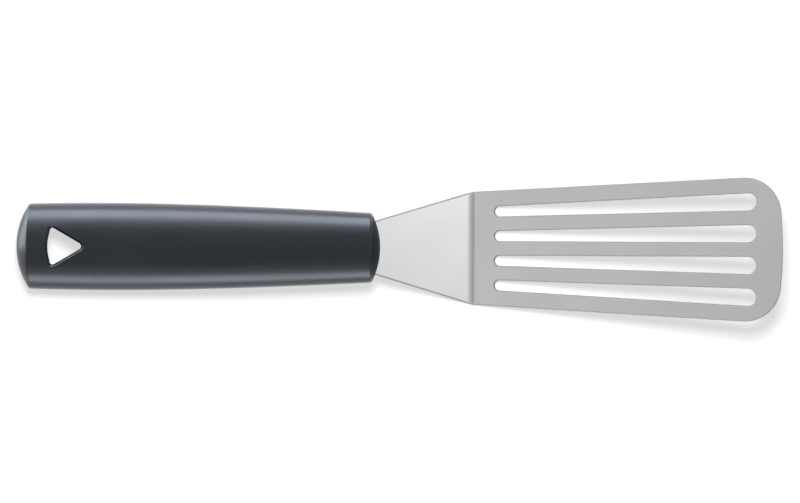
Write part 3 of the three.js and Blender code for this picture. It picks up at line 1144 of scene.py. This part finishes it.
    def add_hole(
        self, skin: Skin, pose: RestPose, profile: Floats, outside: Ints, patch_start: int
    ) -> None:
        """Add the hang hole: a patch of rings on each side, rounded rims and the wall between them.

        Each ring lies a share of the way from the patch's border to the rim, and on the handle's
        surface. The rim falls away from that surface by a steep arc. The wall leans outwards on
        its way down by the draft that its core pin is drawn with.

        Args:
            skin: the grip's skin.
            pose: how the part lies.
            profile: the outside's rows of x and half width.
            outside: the outside's point numbers.
            patch_start: the row where the patch starts.
        """
        quarter = self.sides // 4
        row = patch_start + np.arange(self.patch_rows + 1)
        column = quarter + np.arange(-self.patch_half, self.patch_half + 1)
        border_row = np.concatenate([row[:-1], np.full(len(column) - 1, row[-1]), row[:0:-1],
                                     np.full(len(column) - 1, row[0])])
        border_column = np.concatenate([np.full(len(row) - 1, column[0]), column[:-1],
                                        np.full(len(row) - 1, column[-1]), column[:0:-1]])
        border = profile[border_row, border_column]
        border[:, 1] *= np.cos(self.turn[border_column])
        ray = border - (self.hole.centre, 0)
        mouth, into = self.hole.seen_from_centre(np.arctan2(ray[:, 1], ray[:, 0]))
        ring = np.linspace(0, 1, self.patch_rings + 1)[1:, None, None]
        share = 1 - (1 - ring) ** self.ring_crowding
        width, run, drop = self.hole.rim(into, self.rim_rows)
        fall = np.concatenate([np.zeros((self.patch_rings, len(width))), drop])
        spread = self.butt_thickness * math.tan(self.hole.draft)
        rims, ends = [], []
        for side, wider in ((1, 0.0), (-1, spread)):
            wall = mouth + into * wider
            patch = border + (wall + into * width[:, None] - border) * share
            fillet = wall + into * (width - run)[..., None]
            flat = np.concatenate([patch, fillet])
            rise = side * (self.height(flat) - fall)
            rings = skin.add(pose.place(np.concatenate([flat, rise[..., None]], -1)))
            border_numbers = outside[border_row, (border_column * side) % self.sides]
            skin.grid(np.concatenate([border_numbers[None], rings]))
            rims.append(rings[-1:])
            ends.append(np.column_stack([wall, rise[-1]]))
        deep = np.linspace(0, 1, self.wall_rows + 2)[1:-1, None, None]
        between = skin.add(pose.place(ends[0] + (ends[1] - ends[0]) * deep))
        skin.grid(np.concatenate([rims[0], between, rims[1]]))

    def add_mouth(self, skin: Skin, pose: RestPose, sheet: SteelSheet, edge: Ints) -> None:
        """Add the front dome with the mouth in it, the passage for the tang and the hollow inside.

        Rings of the dome lie a share of the way from its edge to the mouth. The mouth is where the
        section round the neck meets the dome, found by stepping along the neck from its bend.

        Args:
            skin: the grip's skin.
            pose: how the part lies.
            sheet: the steel that the mouth holds.
            edge: the point numbers of the dome's edge.
        """
        gap, rounding = self.mouth_clearance, self.mouth_round
        share, n = self.mouth_loop(sheet, gap + rounding)
        s = np.full(self.sides, sheet.starts[Stretch.NECK])
        for _ in range(self.mouth_tries):
            y = share * (sheet.half(s) + gap + rounding)
            x, _, z = np.moveaxis(sheet.fold(s, y, n), -1, 0)
            s = s + (self.front_face(y, z) - x) / math.cos(sheet.neck_drop)
        mouth = np.stack([y, z], -1)
        reach = self.front_rim()[:, 1:]
        rim = reach * np.stack([np.cos(self.turn), self.flatness * np.sin(self.turn)], -1)
        part = np.linspace(0, 1, self.dome_rows + 1)[1:, None, None]
        flat = rim + (mouth - rim) * part
        face = self.front_face(flat[..., 0], flat[..., 1])
        dome = skin.add(pose.place(np.concatenate([face[..., None], flat], -1)), 1.0)
        skin.grid(np.concatenate([edge[None], dome]))

        bend = np.linspace(0, math.pi / 2, self.mouth_round_rows + 1)[1:]
        passage = []
        for angle in bend:
            grow = gap + rounding * (1 - math.sin(angle))
            share, n = self.mouth_loop(sheet, grow)
            back = s - rounding * (1 - math.cos(angle))
            passage.append(sheet.fold(back, share * (sheet.half(back) + grow), n))
        inner = self.core_front + self.core_clearance - sheet.tang_start
        for part in np.linspace(0, 1, self.passage_rows + 1)[1:]:
            back = (s - rounding) * (1 - part) + inner * part
            passage.append(sheet.fold(back, share * (sheet.half(back) + gap), n))
        tunnel = skin.add(pose.place(np.stack(passage)))
        skin.grid(np.concatenate([dome[-1:], tunnel]))

        hollow = self.turned(self.hollow_profile())
        part = np.linspace(0, 1, self.hollow_front_rows + 2)[1:-1, None, None]
        front = passage[-1] + (hollow[0] - passage[-1]) * part
        inside = skin.add(pose.place(np.concatenate([front, hollow])))
        skin.grid(np.concatenate([tunnel[-1:], inside]))
        pole = skin.add(pose.place(np.array([[self.core_back - self.core_clearance, 0, 0]])))
        skin.fan(int(pole[0]), inside[-1])

    def dress(self, piece: bpy.types.Object, finish: BlackMoulding) -> None:
        """Give the grip its plastic and set it in the frame.

        Args:
            piece: the grip's object.
            finish: its plastic.
        """
        piece.data.materials.append(finish.material())
        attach(piece, BODY)
        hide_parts("handle_grip")


@dataclass
class HandleCore:
    """The core inside the grip, which keeps the shape that it has in the frame."""

    node: str = "handle_core"

    def dress(self, finish: CoreMoulding) -> bpy.types.Object:
        """Give the core its plastic.

        Args:
            finish: the core's plastic.

        Returns:
            The core's object.
        """
        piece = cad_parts[self.node]
        piece.data.materials.clear()
        piece.data.materials.append(finish.material())
        return piece


@dataclass(frozen=True)
class SoftLight:
    """A softbox: where it stands, how large it is and how bright its face is."""

    name: str
    place_mm: tuple[float, float, float]
    aim_mm: tuple[float, float, float]
    size_mm: tuple[float, float]
    radiance: float
    use: LightUse
    shown_on: ShownOn = ShownOn.ALL
    colour: str = "#FFFFFF"

    def build(self) -> bpy.types.Object:
        """Make the lamp. Its power is its radiance times its area and pi.

        Returns:
            The lamp's object.
        """
        data = bpy.data.lights.new(self.name, "AREA")
        data.shape = "RECTANGLE"
        data.size, data.size_y = (side * MM for side in self.size_mm)
        data.energy = math.pi * data.size * data.size_y * self.radiance
        data.color = srgb(self.colour)[:3]
        lamp = bpy.data.objects.new(self.name, data)
        lamp.location = Vector(self.place_mm) * MM
        aim = Vector(self.aim_mm) - Vector(self.place_mm)
        lamp.rotation_euler = aim.to_track_quat("-Z", "Y").to_euler()
        lamp.visible_camera = False
        lamp.visible_glossy = self.use is not LightUse.SHADE
        lamp.visible_diffuse = self.use is not LightUse.SHINE
        bpy.context.scene.collection.objects.link(lamp)
        if self.shown_on is not ShownOn.ALL:
            flagged = bpy.data.collections.new(f"{self.name}_shows_on")
            flagged.objects.link(bpy.data.objects[self.shown_on.value])
            lamp.light_linking.receiver_collection = flagged
        return lamp


@dataclass
class Studio:
    """A white table under soft light, seen from straight above."""

    floor_mm: float = 16000.0
    floor_colour: str = "#ABABAB"
    floor_glow: float = 0.62
    far_glow: float = 0.25
    glow_mirrored: float = 0.75
    glow_fades_mm: tuple[float, float] = (250.0, 800.0)
    zenith: float = 0.415
    right_end: float = 1.26
    left_end: float = 0.645
    horizon: float = 0.06
    horizon_fades: tuple[float, float] = (0.45, 0.75)
    backdrop: float = 1.0
    surround_colour: str = "#FFFFFF"
    camera_height_mm: float = 8000.0
    view_width_mm: float = 285.95
    centre_mm: tuple[float, float] = (0.23, -1.3)
    roll: float = math.radians(0.28)

    NECK_MIRRORS = math.radians(44)  # twice the slope at which the neck lies, and then the blade
    BLADE_MIRRORS = math.radians(28)
    BACK_TINT = "#E4ECFE"
    FRONT_TINT = "#E6EEFC"
    LEFT_TINT = "#F0F4FF"

    lights: tuple[SoftLight, ...] = (
        SoftLight("key", (-40, 700, 3020), (0, 0, 0), (655, 655), 66.0, LightUse.SHADE),
        SoftLight("fill", (0, 0, 2000), (0, 0, 0), (3000, 3000), 0.4, LightUse.SHADE),
        SoftLight("back_strip", (-220, 700, 230), (-220, 0, 10), (900, 420), 10.2,
                  LightUse.SHINE, ShownOn.GRIP, BACK_TINT),
        SoftLight("back_top", (-220, 560, 560), (-220, 0, 10), (900, 240), 1.3,
                  LightUse.SHINE, ShownOn.GRIP, BACK_TINT),
        SoftLight("back_card", (-130, 60, 2), (-130, 60, 1000), (420, 90), 1.35,
                  LightUse.SHINE, ShownOn.GRIP, BACK_TINT),
        SoftLight("front_strip", (-60, -700, 190), (-60, 0, 10), (600, 310), 8.0,
                  LightUse.SHINE, ShownOn.GRIP, FRONT_TINT),
        SoftLight("front_top", (-120, -580, 480), (-120, 0, 10), (680, 200), 1.0,
                  LightUse.SHINE, ShownOn.GRIP, FRONT_TINT),
        SoftLight("front_card", (-35, -60, 2), (-35, -60, 1000), (230, 90), 0.45,
                  LightUse.SHINE, ShownOn.GRIP, FRONT_TINT),
        SoftLight("left_strip", (-650, 300, 110), (-130, 0, 10), (500, 220), 20.0,
                  LightUse.SHINE, ShownOn.GRIP, LEFT_TINT),
        SoftLight("left_card", (-250, 57, 2), (-250, 57, 1000), (200, 117), 3.5,
                  LightUse.SHINE, ShownOn.GRIP, LEFT_TINT),
        SoftLight("neck_wall", (185, 100, 150), (20, 100, 5), (200, 130), 0.5, LightUse.SHINE),
        SoftLight("back_wall", (0, 700, 300), (0, 0, 10), (1600, 600), 0.75,
                  LightUse.SHINE, ShownOn.BLADE),
        SoftLight("front_wall", (0, -700, 300), (0, 0, 10), (1600, 600), 0.75,
                  LightUse.SHINE, ShownOn.BLADE),
        SoftLight("butt_wall", (-900, 0, 300), (0, 0, 10), (1200, 600), 0.6,
                  LightUse.SHINE, ShownOn.BLADE),
        SoftLight("tip_wall", (900, 0, 300), (0, 0, 10), (1200, 600), 0.6,
                  LightUse.SHINE, ShownOn.BLADE),
        SoftLight("left_wall", (-620, 0, 1000), (60, 0, 0), (900, 500), 0.3, LightUse.SHINE),
    )

    def build(self) -> None:
        """Make the floor, the surrounding light, the lamps and the camera."""
        self.add_floor()
        self.add_surround()
        for light in self.lights:
            light.build()
        self.add_camera()

    def add_floor(self) -> None:
        """Make the table: white to the eye and to shiny surfaces, with the object's shadow on it.

        Its glow fades with the distance, but only for shiny surfaces.
        """
        half = self.floor_mm / 2 * MM
        data = bpy.data.meshes.new("table")
        corners = [(-half, -half, 0), (half, -half, 0), (half, half, 0), (-half, half, 0)]
        data.from_pydata(corners, [], [(0, 1, 2, 3)])
        material, tree = new_material("white_table")
        seen = add_node(tree, "ShaderNodeLightPath")
        place = add_node(tree, "ShaderNodeTexCoord").outputs["Object"]
        away = add_node(tree, "ShaderNodeVectorMath", {0: place}, operation="LENGTH").outputs["Value"]
        near, far = (distance * MM for distance in self.glow_fades_mm)
        level = add_node(
            tree, "ShaderNodeMapRange",
            {"Value": away, "From Min": near, "From Max": far,
             "To Min": self.floor_glow * self.glow_mirrored,
             "To Max": self.far_glow * self.glow_mirrored},
            interpolation_type="SMOOTHSTEP",
        ).outputs["Result"]
        mirrored = add_node(
            tree, "ShaderNodeMath", {0: seen.outputs["Is Glossy Ray"], 1: level}, operation="MULTIPLY"
        )
        straight = add_node(
            tree, "ShaderNodeMath",
            {0: seen.outputs["Is Camera Ray"], 1: seen.outputs["Is Transmission Ray"]},
            operation="MAXIMUM",
        )
        shown = add_node(
            tree, "ShaderNodeMath", {0: straight.outputs[0], 1: self.floor_glow}, operation="MULTIPLY"
        )
        strength = add_node(
            tree, "ShaderNodeMath", {0: mirrored.outputs[0], 1: shown.outputs[0]}, operation="MAXIMUM"
        )
        glow = add_node(tree, "ShaderNodeEmission", {"Strength": strength.outputs[0]})
        matt = add_node(tree, "ShaderNodeBsdfDiffuse", {"Color": srgb(self.floor_colour)})
        both = add_node(
            tree, "ShaderNodeAddShader", {0: glow.outputs["Emission"], 1: matt.outputs["BSDF"]}
        )
        add_node(tree, "ShaderNodeOutputMaterial", {"Surface": both.outputs["Shader"]})
        data.materials.append(material)
        floor = bpy.data.objects.new("table", data)
        bpy.context.scene.collection.objects.link(floor)

    def add_surround(self) -> None:
        """Make the room's light, with a white backdrop for the camera.

        Shiny surfaces see it dim straight above, where the camera hangs, paler towards both ends of
        the spatula and dark near the horizon.
        """
        world = bpy.data.worlds.new("studio")
        world.use_nodes = True
        tree = world.node_tree
        tree.nodes.clear()
        direction = add_node(tree, "ShaderNodeTexCoord").outputs["Generated"]
        parts = add_node(tree, "ShaderNodeSeparateXYZ", {0: direction})
        along, up = parts.outputs["X"], parts.outputs["Z"]
        right = add_node(
            tree, "ShaderNodeMapRange",
            {"Value": along, "From Min": 0.0, "From Max": math.sin(self.NECK_MIRRORS),
             "To Min": self.zenith, "To Max": self.right_end},
        ).outputs["Result"]
        left = add_node(
            tree, "ShaderNodeMapRange",
            {"Value": along, "From Min": -math.sin(self.BLADE_MIRRORS), "From Max": 0.0,
             "To Min": self.left_end, "To Max": self.zenith},
        ).outputs["Result"]
        above = add_node(tree, "ShaderNodeMath", {0: right, 1: left}, operation="MAXIMUM").outputs[0]
        level = add_node(
            tree, "ShaderNodeMapRange",
            {"Value": up, "From Min": self.horizon_fades[0], "From Max": self.horizon_fades[1],
             "To Min": self.horizon, "To Max": above},
            interpolation_type="SMOOTHSTEP",
        ).outputs["Result"]
        seen = add_node(tree, "ShaderNodeLightPath").outputs["Is Camera Ray"]
        shown = add_node(
            tree, "ShaderNodeMix", {"Factor": seen, "A": level, "B": self.backdrop}, data_type="FLOAT"
        ).outputs["Result"]
        back = add_node(
            tree, "ShaderNodeBackground", {"Color": srgb(self.surround_colour), "Strength": shown}
        )
        add_node(tree, "ShaderNodeOutputWorld", {"Surface": back.outputs["Background"]})
        bpy.context.scene.world = world
        world.cycles_visibility.diffuse = False

    def add_camera(self) -> None:
        """Hang the camera over the middle of the picture, looking straight down."""
        data = bpy.data.cameras.new("camera")
        data.sensor_fit = "HORIZONTAL"
        data.sensor_width = SENSOR_WIDTH_MM
        data.lens = SENSOR_WIDTH_MM * self.camera_height_mm / self.view_width_mm
        data.clip_end = CLIP_END_MM * MM
        camera = bpy.data.objects.new("camera", data)
        camera.location = Vector((*self.centre_mm, self.camera_height_mm)) * MM
        camera.rotation_euler = (0, 0, self.roll)
        bpy.context.scene.collection.objects.link(camera)
        bpy.context.scene.camera = camera


def lie_down(handle: MouldedHandle, sheet: SteelSheet) -> RestPose:
    """Work out how the spatula lies from the line that touches its heel and its butt.

    Args:
        handle: the handle, for its butt's lower edge.
        sheet: the sheet, for its heel and its front edge.

    Returns:
        The pose, shifted to where the frame has the front edge.
    """
    heel_x, heel_z = sheet.heel_centre()
    run = heel_x - handle.butt_dome_top
    rise = heel_z + handle.butt_thickness / 2
    heel_radius = sheet.heel_neck_radius + sheet.thickness / 2
    tilt = math.asin(heel_radius / math.hypot(run, rise)) - math.atan2(rise, run)
    lowest = np.array([handle.butt_dome_top, 0, -handle.butt_thickness / 2])
    butt = RestPose(tilt, 0, 0).place(lowest) / MM
    tip_s = np.array(sheet.blade_s(sheet.blade_length))
    tip = RestPose(tilt, 0, 0).place(sheet.fold(tip_s, np.array(0.0), -sheet.thickness / 2)) / MM
    return RestPose(tilt, cad_box[1].x / MM - tip[0], -butt[2])


def main() -> None:
    """Build the pieces in order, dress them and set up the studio."""
    logging.basicConfig(level=logging.INFO, format="%(name)s: %(message)s")
    bpy.context.scene.view_settings.view_transform = "Standard"
    handle = MouldedHandle()
    sheet = SteelSheet(
        tang_start=handle.core_back + handle.tang_cover,
        shoulder_x=handle.length - handle.shoulder_depth,
        mouth_x=handle.length,
    )
    pose = lie_down(handle, sheet)
    log.info("lies at %.3f degrees", math.degrees(pose.tilt))

    blade = sheet.build(pose)
    sheet.dress(blade, SatinSteel())
    grip = handle.build(sheet, pose)
    handle.dress(grip, BlackMoulding())
    core = HandleCore().dress(CoreMoulding())
    for piece in (blade, grip, core):
        log.info("%s: %d faces", piece.name, len(piece.data.polygons))

    Studio().build()


if __name__ == "__main__":
    main()
